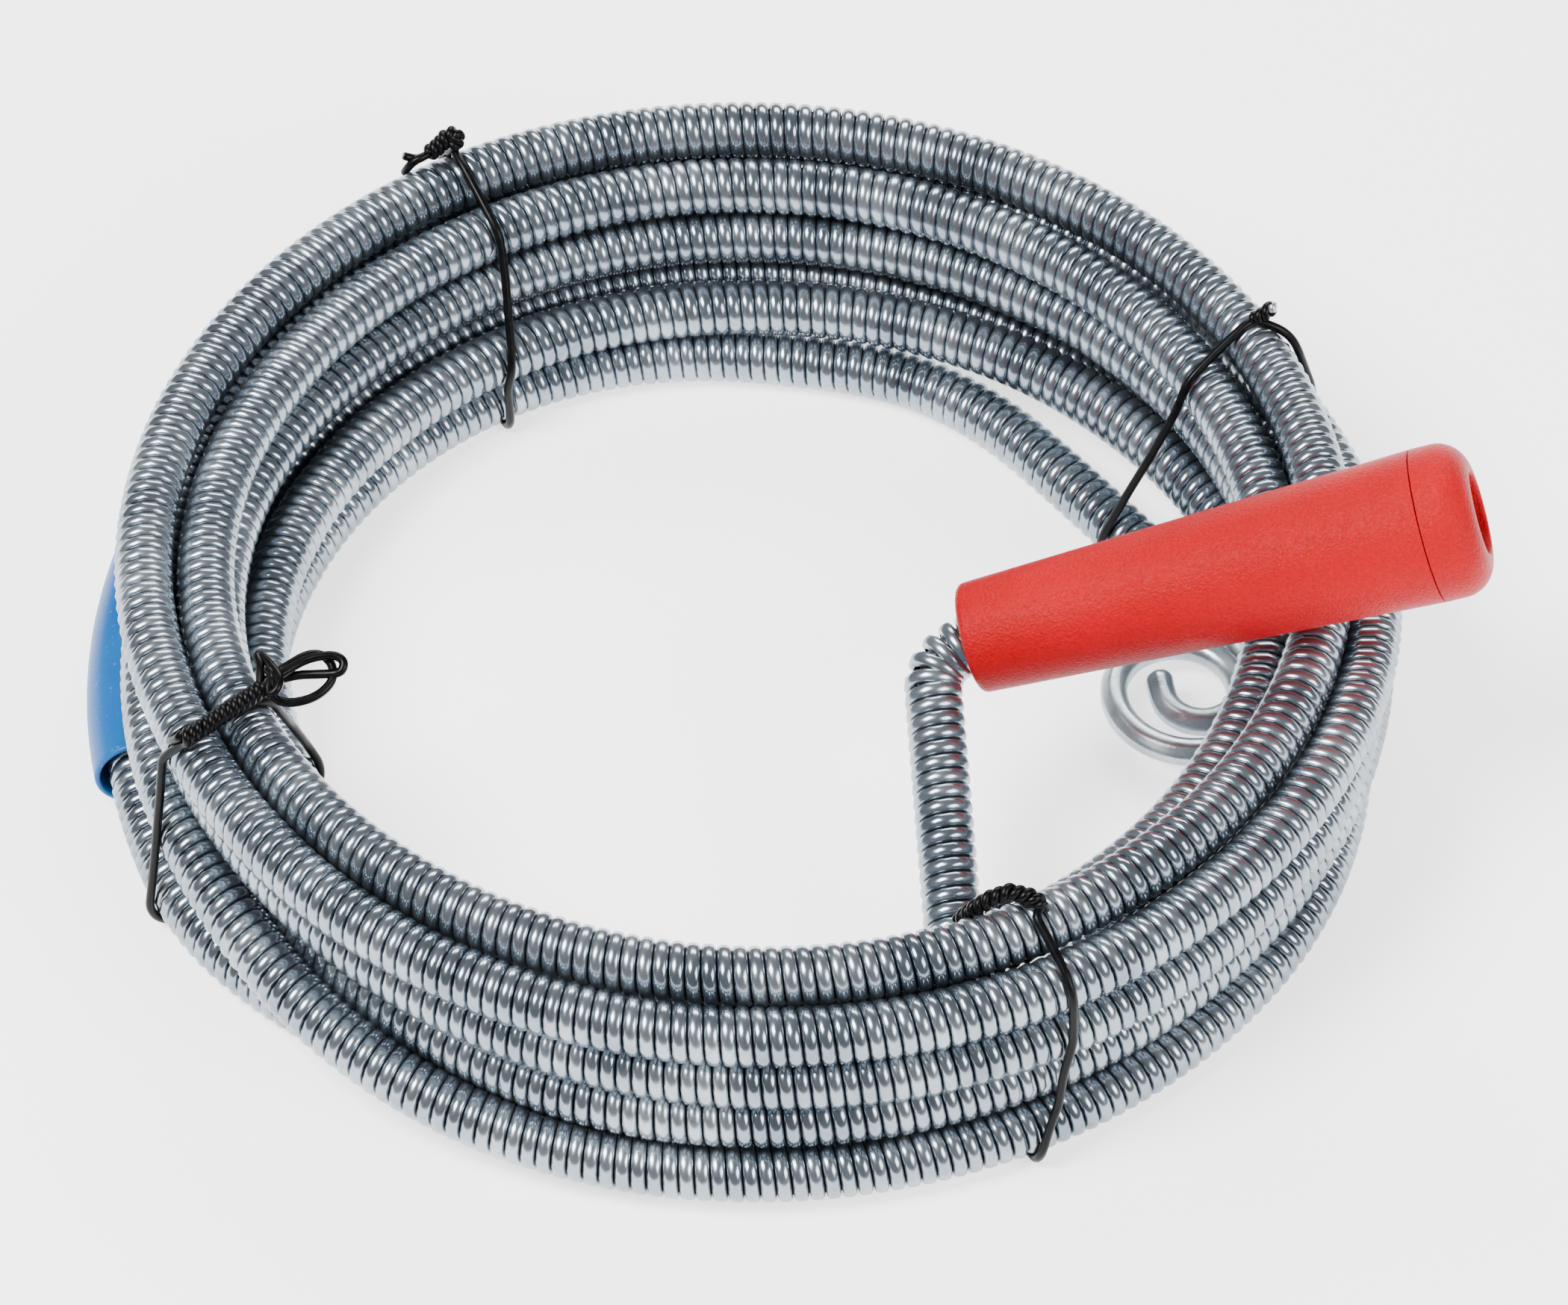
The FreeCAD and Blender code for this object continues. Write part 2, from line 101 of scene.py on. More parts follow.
def along_grip(distance):
    """The point on the grip's axis, in millimetres from the crank's upper corner."""
    return crank_corner + grip_axis * (distance * MM)


# Where each turn's middle lies in the bundle's section, as (azimuth, radius,
# height) stations.  The cable runs clockwise seen from above, so azimuths fall
# along it: a turn starts at the front, at 270 degrees, and ends at -90.
TURNS = [
    [(270, 76.5, 13.5), (225, 77.0, 13.5), (180, 77.0, 13.5), (120, 73.5, 13.5),
     (90, 70.7, 13.5), (60, 72.5, 12.5), (30, 76.4, 10.8), (10, 80.5, 10.5),
     (-3, 83.2, 9.5), (-25, 86.0, 5.0), (-45, 85.5, 4.5)],
    [(270, 85.0, 4.5), (242, 87.0, 4.5), (227, 91.5, 4.5), (215, 97.2, 4.5),
     (200, 96.8, 6.5), (180, 96.5, 7.0), (130, 96.5, 7.0), (90, 91.0, 7.0),
     (60, 91.5, 8.3), (30, 91.2, 7.8), (13, 90.8, 8.6), (0, 92.3, 13.4),
     (-45, 91.5, 13.5)],
    [(270, 91.5, 13.0), (227, 88.0, 14.5), (200, 86.2, 11.0), (180, 85.3, 9.5),
     (120, 82.0, 13.0), (90, 79.3, 13.1), (60, 82.0, 9.5), (30, 82.6, 5.2),
     (13, 83.4, 4.5), (-3, 92.5, 4.5), (-20, 95.0, 4.5), (-45, 94.7, 4.5)],
    [(270, 94.5, 4.5), (238, 94.5, 8.0), (227, 96.0, 11.0), (217, 97.3, 13.0),
     (200, 94.5, 17.5), (180, 92.0, 17.5), (120, 91.0, 17.0), (90, 90.0, 16.0),
     (60, 90.8, 17.2), (30, 89.6, 16.8), (13, 89.2, 17.4), (-5, 94.0, 22.0),
     (-45, 93.5, 22.0)],
    [(270, 91.7, 21.8), (227, 89.0, 23.0), (200, 91.0, 26.5), (180, 92.5, 26.2),
     (120, 91.5, 26.0), (90, 90.0, 25.0), (60, 91.0, 26.0), (30, 88.9, 25.8),
     (13, 88.4, 26.3), (-5, 93.0, 30.2), (-45, 91.5, 30.5)],
    [(270, 90.3, 31.0), (223, 90.7, 31.0), (200, 92.0, 34.0), (180, 93.5, 34.5),
     (120, 92.5, 35.0), (90, 90.6, 34.0), (60, 89.5, 35.2), (30, 88.6, 35.2),
     (9, 89.4, 35.2), (-13, 87.6, 34.8), (-45, 84.5, 34.8)],
    [(270, 82.3, 35.0), (224, 82.1, 35.0), (200, 83.2, 33.2), (180, 84.4, 31.5),
     (120, 83.3, 30.0), (90, 82.9, 30.0), (60, 80.5, 30.8), (30, 79.0, 31.2),
     (11, 78.5, 31.0), (-45, 78.5, 28.0)],
    [(270, 78.5, 27.0), (225, 80.0, 25.0), (180, 84.0, 23.0), (120, 80.8, 22.0),
     (90, 79.3, 22.0), (60, 79.5, 21.0), (30, 80.5, 20.5), (0, 81.5, 19.5),
     (-45, 83.0, 19.0)],
    [(270, 83.6, 18.8), (225, 80.5, 8.5), (180, 77.0, 4.5), (120, 74.5, 4.5),
     (90, 69.5, 4.5), (64, 70.7, 4.5)],
]
STEPS = 24                    # points for each turn
LAST_STEPS = 13               # the last turn ends where the tail begins
GAP = CABLE + 0.04            # between the middles of turns that touch
ROUNDS = 160                  # of easing the turns apart
FLOOR = CABLE / 2
CEILING = 35.2                # keeps the top turn clear of the grip
SLEEVE_TURN = 1               # the turn that carries the guide sleeve
SLEEVE_RING = (96.9, 7.0)     # radius and height of the sleeve's middle
SLEEVE_OUT, SLEEVE_IN = 6.5, 5.6       # radii of the hose itself
SLEEVE_LANE = (126.0, 212.0)  # azimuths where the other turns leave it room to slide
SLEEVE_CLEAR = SLEEVE_OUT + CABLE / 2 + 0.3    # from the ring to another turn's middle
PULL = 0.02                   # share of the way back to its listed place, each round
SMOOTHING = 0.03              # share of the way to its neighbours along the cable


def lane_at(turn, azimuth):
    """A turn's listed place at an azimuth, eased between its stations."""
    following = TURNS[turn + 1][0] if turn + 1 < len(TURNS) else TURNS[turn][-1]
    stations = TURNS[turn] + [(following[0] - 360, following[1], following[2])]
    for before, after in zip(stations, stations[1:]):
        start = before[0] if before[0] <= 270 else before[0] - 360
        if start >= azimuth >= after[0]:
            share = (start - azimuth) / max(start - after[0], 1e-9)
            eased = share * share * (3 - 2 * share)
            return [before[k] + (after[k] - before[k]) * eased for k in (1, 2)]
    return list(stations[-1][1:])


def coil_lanes():
    """Radius and height of every step of every turn, pushed apart where turns meet."""
    azimuths = [270 - 360 * step / STEPS for step in range(STEPS)]
    wanted = []
    columns = []
    for turn in range(len(TURNS)):
        count = LAST_STEPS if turn + 1 == len(TURNS) else STEPS
        for step in range(count):
            wanted.append(lane_at(turn, azimuths[step]))
            columns.append(step)
    wanted = np.array(wanted)
    columns = np.array(columns)
    place = wanted.copy()
    in_lane = np.array([SLEEVE_LANE[0] <= azimuths[c] <= SLEEVE_LANE[1] for c in columns])
    own_turn = np.arange(len(place)) // STEPS == SLEEVE_TURN
    for _ in range(ROUNDS):
        place += (wanted - place) * PULL
        inner = place[1:-1]
        inner += (place[:-2] + place[2:] - 2 * inner) * SMOOTHING
        for column in range(STEPS):
            rows = np.nonzero(columns == column)[0]
            for one in rows:
                for other in rows[rows > one]:
                    apart = place[other] - place[one]
                    distance = max(float(np.hypot(*apart)), 1e-6)
                    if distance < GAP:
                        push = apart / distance * (GAP - distance) * 0.5
                        place[one] -= push
                        place[other] += push
        away = place - np.array(SLEEVE_RING)
        distance = np.hypot(away[:, 0], away[:, 1])
        close = in_lane & ~own_turn & (distance < SLEEVE_CLEAR)
        short = SLEEVE_CLEAR - distance[close, None]
        place[close] += away[close] / distance[close, None] * short
        place[:, 1] = np.clip(place[:, 1], FLOOR, CEILING)
        pinned = own_turn & in_lane
        place[pinned] = wanted[pinned]
    return [(azimuths[c], p[0], p[1]) for c, p in zip(columns, place)]


lanes = coil_lanes()


def cable_points():
    """The control points of the whole cable, from the grip to the head."""
    lower = vec(*CRANK_LOWER)
    arm = (crank_corner - lower).normalized()
    points = [
        along_grip(GRIP_INSIDE),
        crank_corner,
        crank_corner - arm * (NEAR_UPPER * MM),
        lower + arm * (NEAR_LOWER * MM),
        lower,
        vec(*CRANK_LANE),
    ]
    # a smooth spline passes a little inside its control points
    outward = 1.0 / (0.75 + 0.25 * math.cos(2 * math.pi / STEPS))
    for azimuth, radius, height in lanes[1:]:
        angle = math.radians(azimuth)
        points.append(vec(
            radius * outward * math.cos(angle), radius * outward * math.sin(angle), height))
    for x, y, z in TAIL:
        points.append(vec(x, y, z))
    return points


def smooth_line(points, name):
    """Points along one smooth open spline with these control points."""
    data = bpy.data.curves.new(name, "CURVE")
    data.dimensions = "3D"
    spline = data.splines.new("NURBS")
    spline.points.add(len(points) - 1)
    for target, point in zip(spline.points, points):
        target.co = (point.x, point.y, point.z, 1.0)
    spline.order_u = 3
    spline.use_endpoint_u = True
    spline.resolution_u = 16
    holder = bpy.data.objects.new(name, data)
    bpy.context.collection.objects.link(holder)
    bpy.context.view_layer.update()
    mesh = bpy.data.meshes.new_from_object(holder)
    line = np.array([v.co[:] for v in mesh.vertices])
    bpy.data.objects.remove(holder)
    bpy.data.meshes.remove(mesh)
    bpy.data.curves.remove(data)
    return line


def even_line(line, step):
    """The same line at even distances, with its last point kept."""
    runs = np.linalg.norm(np.diff(line, axis=0), axis=1)
    travel = np.concatenate([[0.0], np.cumsum(runs)])
    count = max(int(round(travel[-1] / step)), 2)
    spots = np.linspace(0.0, travel[-1], count + 1)
    return np.stack([np.interp(spots, travel, line[:, k]) for k in range(3)], axis=1)


def frames_along(line):
    """Tangents and two cross directions that don't twist along the line."""
    tangents = np.gradient(line, axis=0)
    tangents /= np.linalg.norm(tangents, axis=1)[:, None]
    first = np.cross(tangents[0], (0.0, 0.0, 1.0))
    if np.linalg.norm(first) < 1e-3:
        first = np.cross(tangents[0], (1.0, 0.0, 0.0))
    side = first / np.linalg.norm(first)
    sides = np.empty_like(line)
    for index, tangent in enumerate(tangents):
        side = side - tangent * np.dot(side, tangent)
        side = side / np.linalg.norm(side)
        sides[index] = side
    return tangents, sides, np.cross(tangents, sides)


# ------------------------------------------------------------------ mesh helpers


def make_mesh(name, vertices, faces, materials, face_material=None):
    """A smooth-shaded object; face_material gives each face's material number."""
    data = bpy.data.meshes.new(name)
    data.from_pydata([tuple(v) for v in vertices], [], [tuple(f) for f in faces])
    for material in materials:
        data.materials.append(material)
    if face_material is not None:
        numbers = np.asarray(face_material, dtype=np.int32)
        data.polygons.foreach_set("material_index", numbers)
    data.polygons.foreach_set("use_smooth", np.full(len(faces), True))
    data.update()
    obj = bpy.data.objects.new(name, data)
    bpy.context.collection.objects.link(obj)
    return obj


def grid_faces(rings, across, closed):
    """Quads between rings of a strip or tube, numbered ring by ring."""
    span = across if closed else across - 1
    ring = np.arange(rings - 1)[:, None] * across
    here = np.arange(span)[None, :]
    there = (here + 1) % across
    return np.stack([ring + here, ring + there, ring + across + there, ring + across + here],
                    axis=2).reshape(-1, 4)


def ring_tube(line, radius, across):
    """Vertices of a round tube along a line; radius is a number or one per point."""
    _, sides, ups = frames_along(line)
    angles = np.arange(across) * 2 * math.pi / across
    radii = np.broadcast_to(radius, len(line))[:, None, None]
    spread = (sides[:, None, :] * np.cos(angles)[None, :, None]
              + ups[:, None, :] * np.sin(angles)[None, :, None])
    return (line[:, None, :] + spread * radii).reshape(-1, 3)


def add_layer(obj, name, values):
    """A number for every vertex, which the material reads by name."""
    layer = obj.data.attributes.new(name, "FLOAT", "POINT")
    layer.data.foreach_set("value", np.asarray(values, dtype=np.float32))


# ------------------------------------------------------------------ materials


class Nodes:
    """A short way to write node materials."""

    def __init__(self, name):
        self.material = bpy.data.materials.new(name)
        self.material.use_nodes = True
        self.tree = self.material.node_tree
        self.shader = self.tree.nodes["Principled BSDF"]

    def add(self, kind, **inputs):
        node = self.tree.nodes.new(kind)
        for key, value in inputs.items():
            self.put(node.inputs[key.replace("_", " ")], value)
        return node

    def put(self, socket, value):
        if isinstance(value, bpy.types.NodeSocket):
            self.tree.links.new(value, socket)
        else:
            socket.default_value = value

    def set(self, **inputs):
        for key, value in inputs.items():
            self.put(self.shader.inputs[key.replace("_", " ")], value)

    def coords(self):
        return self.add("ShaderNodeTexCoord").outputs["Object"]

    def noise(self, scale, detail=3.0, roughness=0.55):
        node = self.add("ShaderNodeTexNoise", Vector=self.coords(), Scale=scale,
                        Detail=detail, Roughness=roughness)
        return node.outputs["Fac"]

    def ramp(self, value, stops):
        node = self.add("ShaderNodeValToRGB", Fac=value)
        ramp = node.color_ramp
        while len(ramp.elements) < len(stops):
            ramp.elements.new(0.5)
        for element, (place, colour) in zip(ramp.elements, stops):
            element.position = place
            element.color = (*colour, 1.0)
        return node.outputs["Color"]

    def span(self, value, low, high, to_low, to_high):
        node = self.add("ShaderNodeMapRange", Value=value)
        for key, number in (("From Min", low), ("From Max", high),
                            ("To Min", to_low), ("To Max", to_high)):
            node.inputs[key].default_value = number
        return node.outputs["Result"]

    def mix(self, share, one, other):
        node = self.add("ShaderNodeMix")
        node.data_type = "RGBA"
        self.put(node.inputs[0], share)
        for number, colour in ((6, one), (7, other)):
            linked = isinstance(colour, bpy.types.NodeSocket)
            self.put(node.inputs[number], colour if linked else (*colour, 1.0))
        return node.outputs[2]

    def bump(self, height, strength, distance):
        node = self.add("ShaderNodeBump", Height=height, Strength=strength, Distance=distance)
        return node.outputs["Normal"]

    def layer(self, name):
        node = self.add("ShaderNodeAttribute")
        node.attribute_name = name
        return node.outputs["Fac"]


def zinc_material():
    """Semi-bright zinc on the spring wire: clouded and specked, with painted shade in the grooves
    between windings.
    """
    m = Nodes("zinc_wire")
    cloud = m.noise(90.0, 4.0)
    speck = m.noise(1400.0, 2.0)
    colour = m.ramp(cloud, [(0.30, (0.165, 0.20, 0.235)), (0.50, (0.26, 0.30, 0.34)),
                            (0.72, (0.38, 0.425, 0.465))])
    colour = m.mix(m.span(speck, 0.58, 0.75, 0.0, 0.35), colour, (0.13, 0.15, 0.17))
    # painted shade: the colour goes near black towards each wire's edge, where the windings meet
    groove_shade = m.span(m.layer("groove_shade"), 0.84, 1.0, 0.0, 0.92)
    colour = m.mix(groove_shade, colour, (0.035, 0.04, 0.045))
    m.set(Base_Color=colour, Metallic=0.92,
          Roughness=m.span(cloud, 0.3, 0.7, 0.16, 0.29),
          Normal=m.bump(speck, 0.15, 0.00005))
    return m.material


def core_material():
    """The shadowed rod and hollow inside the windings, coloured near black as painted shade."""
    m = Nodes("cable_inside")
    # painted shade, mottled at random from near black to dark grey
    shade_mottle = m.noise(500.0)
    m.set(Base_Color=m.ramp(shade_mottle, [(0.3, (0.018, 0.019, 0.02)), (0.7, (0.05, 0.053, 0.056))]),
          Metallic=0.6, Roughness=m.span(shade_mottle, 0.3, 0.7, 0.5, 0.75))
    return m.material


def steel_material():
    """Plain bright steel of the core rod's end, its washer and its lock."""
    m = Nodes("core_steel")
    cloud = m.noise(300.0)
    m.set(Base_Color=m.ramp(cloud, [(0.3, (0.17, 0.175, 0.18)), (0.7, (0.33, 0.34, 0.35))]),
          Metallic=1.0, Roughness=m.span(cloud, 0.3, 0.7, 0.3, 0.5))
    return m.material


def head_material():
    """Bright galvanised rod with dull patches and fine specks."""
    m = Nodes("head_zinc")
    cloud = m.noise(160.0, 4.0)
    fine = m.noise(1600.0, 3.0)
    colour = m.ramp(cloud, [(0.3, (0.30, 0.345, 0.38)), (0.7, (0.48, 0.53, 0.56))])
    colour = m.mix(m.span(fine, 0.55, 0.75, 0.0, 0.4), colour, (0.20, 0.23, 0.25))
    m.set(Base_Color=colour, Metallic=0.9,
          Roughness=m.span(cloud, 0.3, 0.7, 0.26, 0.42),
          Normal=m.bump(fine, 0.25, 0.0001))
    return m.material


def red_material():
    """Moulded red plastic with the fine pebbled grain of the mould."""
    m = Nodes("red_plastic")
    cells = m.add("ShaderNodeTexVoronoi", Vector=m.coords(), Scale=2600.0)
    grain = m.noise(1900.0, 4.0)
    cloud = m.noise(40.0)
    height = m.add("ShaderNodeMath")
    height.operation = "MULTIPLY_ADD"
    m.put(height.inputs[0], cells.outputs["Distance"])
    height.inputs[1].default_value = 0.6
    m.put(height.inputs[2], grain)
    colour = m.ramp(cloud, [(0.3, (0.36, 0.0, 0.004)), (0.7, (0.43, 0.0, 0.006))])
    colour = m.mix(m.span(grain, 0.35, 0.6, 0.3, 0.0), colour, (0.20, 0.0, 0.002))
    m.set(Base_Color=colour, Roughness=m.span(grain, 0.35, 0.65, 0.44, 0.34),
          Normal=m.bump(height.outputs[0], 0.75, 0.0002))
    m.set(Specular_IOR_Level=0.08)
    return m.material


def blue_material():
    """Satin blue hose with small bright specks."""
    m = Nodes("blue_plastic")
    cloud = m.noise(60.0)
    specks = m.noise(1500.0, 2.0)
    colour = m.ramp(cloud, [(0.3, (0.0, 0.070, 0.250)), (0.7, (0.0, 0.095, 0.310))])
    colour = m.mix(m.span(specks, 0.66, 0.72, 0.0, 0.5), colour, (0.05, 0.25, 0.60))
    m.set(Base_Color=colour, Roughness=m.span(cloud, 0.3, 0.7, 0.30, 0.42),
          Normal=m.bump(specks, 0.12, 0.0001))
    m.set(Specular_IOR_Level=0.2)
    return m.material


def black_material():
    """Black plastic coating drawn over thin wire."""
    m = Nodes("black_tie")
    streak = m.noise(700.0)
    m.set(Base_Color=m.ramp(streak, [(0.3, (0.0008, 0.0008, 0.001)),
                                     (0.7, (0.002, 0.002, 0.0025))]),
          Roughness=m.span(streak, 0.3, 0.7, 0.26, 0.40),
          Normal=m.bump(streak, 0.2, 0.0001))
    m.set(Specular_IOR_Level=0.12)
    return m.material


def floor_material():
    """Near-white paper that glows a little, as a lit studio sweep does."""
    m = Nodes("studio_floor")
    cloud = m.noise(1.5)
    m.set(Base_Color=m.ramp(cloud, [(0.3, (0.90, 0.90, 0.90)), (0.7, (0.93, 0.93, 0.93))]),
          Roughness=0.9, Emission_Color=(1.0, 1.0, 1.0, 1.0), Emission_Strength=1.6)
    return m.material


zinc = zinc_material()
cable_inside = core_material()
core_steel = steel_material()
head_zinc = head_material()
red = red_material()
blue = blue_material()
black = black_material()

# ------------------------------------------------------------------ the cable
STRIP_POINTS = 7                  # across the outer half of the wire
FLATNESS = 0.8                    # under 1 squares the wire's crown, as coiling presses it
WINDING_STEPS = 13                # rings for each winding
WIRE_RADIUS = WIRE / 2
HELIX_RADIUS = CABLE / 2 - WIRE_RADIUS
INSIDE = 3.2                      # radius of the near-black tube of painted shade seen between windings
CORE = 2.0                        # the same on the crank, where it is the core rod
CORE_END, INSIDE_START = 84.0, 92.0    # along the cable, where one gives way to the other
INSIDE_STEP = 3.0                 # between the rings of the painted-shade tube
INSIDE_AROUND = 10


def wound_cable(name, line):
    """A right-handed close helix of wire about a line, with a dark tube of painted shade inside.
    """
    length = float(np.linalg.norm(np.diff(line, axis=0), axis=1).sum())
    windings = length / (WIRE * MM)
    path = even_line(line, WIRE * MM / WINDING_STEPS)
    tangents, sides, ups = frames_along(path)
    turn = np.linspace(0.0, windings * 2 * math.pi, len(path))
    out = sides * np.cos(turn)[:, None] + ups * np.sin(turn)[:, None]
    middle = path + out * (HELIX_RADIUS * MM)
    along = np.gradient(middle, axis=0)
    along /= np.linalg.norm(along, axis=1)[:, None]
    beside = np.cross(along, out)
    beside /= np.linalg.norm(beside, axis=1)[:, None]
    outward = np.cross(beside, along)
    spread = np.linspace(-math.pi / 2, math.pi / 2, STRIP_POINTS)
    across = np.sign(spread) * np.abs(np.sin(spread)) ** FLATNESS
    height = np.maximum(np.cos(spread), 0.0) ** FLATNESS
    vertices = (middle[:, None, :]
                + outward[:, None, :] * (height * WIRE_RADIUS * MM)[None, :, None]
                + beside[:, None, :] * (across * WIRE_RADIUS * MM)[None, :, None])
    vertices = vertices.reshape(-1, 3)
    faces = grid_faces(len(path), STRIP_POINTS, False)
    # each point's distance from the wire's middle, which the material turns into painted groove
    # shade
    groove_shade = np.tile(np.abs(across), len(path))

    # a near-black tube of painted shade stands for the shadowed hollow inside the cable
    inside_line = even_line(line, INSIDE_STEP * MM)
    travel = np.linspace(0.0, length, len(inside_line))
    radii = np.interp(travel, (CORE_END * MM, INSIDE_START * MM), (CORE * MM, INSIDE * MM))
    inside = ring_tube(inside_line, radii, INSIDE_AROUND)
    inside_faces = grid_faces(len(inside_line), INSIDE_AROUND, True) + len(vertices)
    obj = make_mesh(
        name,
        np.concatenate([vertices, inside]),
        np.concatenate([faces, inside_faces]),
        [zinc, cable_inside],
        np.concatenate([np.zeros(len(faces)), np.ones(len(inside_faces))]))
    add_layer(obj, "groove_shade", np.concatenate([groove_shade, np.ones(len(inside))]))
    return obj


cable_line = smooth_line(cable_points(), "cable_line")
cable = wound_cable("spring_cable", cable_line)
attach(cable, "coil")
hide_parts("cable_coil", "cable_sleeve_run", "crank_cable", "cable_tail")

# ------------------------------------------------------------------ pigtail head
HEAD_WIRE = 4.4
HEAD_SHANK = 14.0             # held in the end of the cable
HEAD_LEAD = 9.0               # straight, from the cable's end to the first curl
HEAD_CURLS = [(12.0, 215.0), (9.7, 180.0), (5.9, 168.0), (30.0, 9.0)]    # radius, turned angle
LEAD_STEPS = 40
CURL_STEP = 0.5               # between the points of a curl
SECTION_CORNERS = 28
OUTER_FLAT, INNER_FLAT, TOP_FLAT, BEVEL = 0.97, 0.93, 0.95, 0.90    # shares of the radius
CUT_SHRINK = 0.20             # the cut end is this share thinner than the wire


def curled_line(start, heading, straight, curls):
    """Points of a straight lead and level clockwise arcs, about half a millimetre apart."""
    line = [start + heading * (straight * k / LEAD_STEPS) for k in range(LEAD_STEPS + 1)]
    for radius, degrees in curls:
        inward = Vector((heading.y, -heading.x, 0.0))
        centre = line[-1] + inward * radius
        spoke = line[-1] - centre
        count = int(math.radians(degrees) * radius / (CURL_STEP * MM))
        for k in range(1, count + 1):
            swing = Matrix.Rotation(-math.radians(degrees * k / count), 3, "Z")
            line.append(centre + swing @ spoke)
        heading = Matrix.Rotation(-math.radians(degrees), 3, "Z") @ heading
    return np.array([p[:] for p in line])


def pressed_section(radius):
    """Corners of a round wire's section, pressed flat on the top, outside and inside,
    with a bevel between the top and the outside."""
    corners = []
    for k in range(SECTION_CORNERS):
        angle = 2 * math.pi * k / SECTION_CORNERS
        side, up = math.cos(angle) * radius, math.sin(angle) * radius
        side = min(max(side, -radius * INNER_FLAT), radius * OUTER_FLAT)
        slope = (side + up) / math.sqrt(2) - radius * BEVEL
        if slope > 0:
            side -= slope / math.sqrt(2)
            up -= slope / math.sqrt(2)
        corners.append((side, min(up, radius * TOP_FLAT)))
    return corners


def make_head():
    """The thick wire that leaves the cable's end and curls flat."""
    cable_end = vec(*TAIL[2])
    heading = (vec(*TAIL[2]) - vec(*TAIL[1])).normalized()
    curls = [(radius * MM, degrees) for radius, degrees in HEAD_CURLS]
    line = curled_line(cable_end - heading * (HEAD_SHANK * MM), heading,
                       (HEAD_SHANK + HEAD_LEAD) * MM, curls)
    tangents = np.gradient(line, axis=0)
    tangents /= np.linalg.norm(tangents, axis=1)[:, None]
    outside = np.stack([-tangents[:, 1], tangents[:, 0], np.zeros(len(line))], axis=1)
    upward = np.array((0.0, 0.0, 1.0))
    section = pressed_section(HEAD_WIRE / 2 * MM)
    vertices = []
    last = len(line) - 1
    for index, point in enumerate(line):
        # the cut end is drawn in over its last millimetre
        share = min((last - index) / 2.0, 1.0)
        size = 1.0 - CUT_SHRINK + CUT_SHRINK * math.sqrt(share)
        for side, up in section:
            vertices.append(point + outside[index] * side * size + upward * up * size)
    faces = [tuple(f) for f in grid_faces(len(line), len(section), True)]
    faces.append(tuple(range(len(section)))[::-1])
    faces.append(tuple(last * len(section) + k for k in range(len(section))))
    head = make_mesh("pigtail_head", vertices, faces, [head_zinc])
    sharpen(head, 35)
    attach(head, "coil")
    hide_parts("auger_head")
    return head


# ------------------------------------------------------------------ the grip
# stations along the grip's axis, from the crank's upper corner
GRIP_FACE = 6.2               # the small end
SHAFT_END = 69.9              # where the cable inside ends, under the washer
HOLE_FLOOR = 70.7             # the end hole's bottom
GRIP_JOINT = 77.2             # the line round the grip, where the end cap begins
GRIP_END = 85.2
# radii
GRIP_SMALL, GRIP_LARGE = 8.5, 11.65
GRIP_BORE, END_HOLE = 4.9, 6.2
SPIGOT = 8.5                  # the cap's neck, which stands in the body
SPIGOT_LENGTH = 4.0
SPIGOT_PLAY = 0.1
CAP_ROUNDING = 4.9            # of the cap's outer edge
JOINT_GAP = 0.12              # the fine line between the body and the cap
SHAFT_STEPS = 60
ROUND_STEP = 0.3              # between the points of a rounding
OUTLINE_STEP = 2.0            # longest run between the other points, roughly


def rounded_outline(corners):
    """(station, radius) points of an outline whose corners have their own roundings."""
    outline = []
    for index, (station, radius, rounding) in enumerate(corners):
        here = np.array((station, radius))
        if rounding <= 0:
            outline.append(here)
            continue
        back = np.array(corners[index - 1][:2]) - here
        ahead = np.array(corners[(index + 1) % len(corners)][:2]) - here
        back /= np.linalg.norm(back)
        ahead /= np.linalg.norm(ahead)
        half = math.acos(float(np.clip(np.dot(back, ahead), -1, 1))) / 2
        reach = rounding / math.tan(half)
        middle = here + (back + ahead) / np.linalg.norm(back + ahead) * rounding / math.sin(half)
        start = here + back * reach - middle
        end = here + ahead * reach - middle
        sweep = math.pi - 2 * half
        sign = 1.0 if start[0] * end[1] - start[1] * end[0] > 0 else -1.0
        count = max(int(rounding * sweep / ROUND_STEP), 5)
        for k in range(count + 1):
            angle = sign * sweep * k / count
            outline.append(middle + np.array((
                start[0] * math.cos(angle) - start[1] * math.sin(angle),
                start[0] * math.sin(angle) + start[1] * math.cos(angle))))
    return outline


def turned_piece(name, corners, material, around=128):
    """A closed outline turned about the grip's axis."""
    outline = []
    rounded = rounded_outline(corners)
    for index, point in enumerate(rounded):
        following = rounded[(index + 1) % len(rounded)]
        count = max(int(np.linalg.norm(following - point) / OUTLINE_STEP), 1)
        for k in range(count):
            outline.append(point + (following - point) * k / count)
    side = grip_axis.cross(Vector((0.0, 0.0, 1.0))).normalized()
    up = side.cross(grip_axis)
    vertices = []
    for k in range(around):
        angle = 2 * math.pi * k / around
        out = side * math.cos(angle) + up * math.sin(angle)
        for station, radius in outline:
            vertices.append(along_grip(station) + out * (radius * MM))
    count = len(outline)
    faces = []
    for k in range(around):
        following = (k + 1) % around
        for j in range(count):
            nxt = (j + 1) % count
            faces.append((k * count + j, following * count + j,
                          following * count + nxt, k * count + nxt))
    obj = make_mesh(name, vertices, faces, [material])
    sharpen(obj, 40)
    return obj


def sharpen(obj, degrees):
    """Marks edges that turn by more than an angle, and points the faces outward."""
    bm = bmesh.new()
    bm.from_mesh(obj.data)
    bmesh.ops.recalc_face_normals(bm, faces=bm.faces)
    limit = math.radians(degrees)
    for edge in bm.edges:
        if len(edge.link_faces) == 2 and edge.calc_face_angle() > limit:
            edge.smooth = False
    bm.to_mesh(obj.data)
    bm.free()


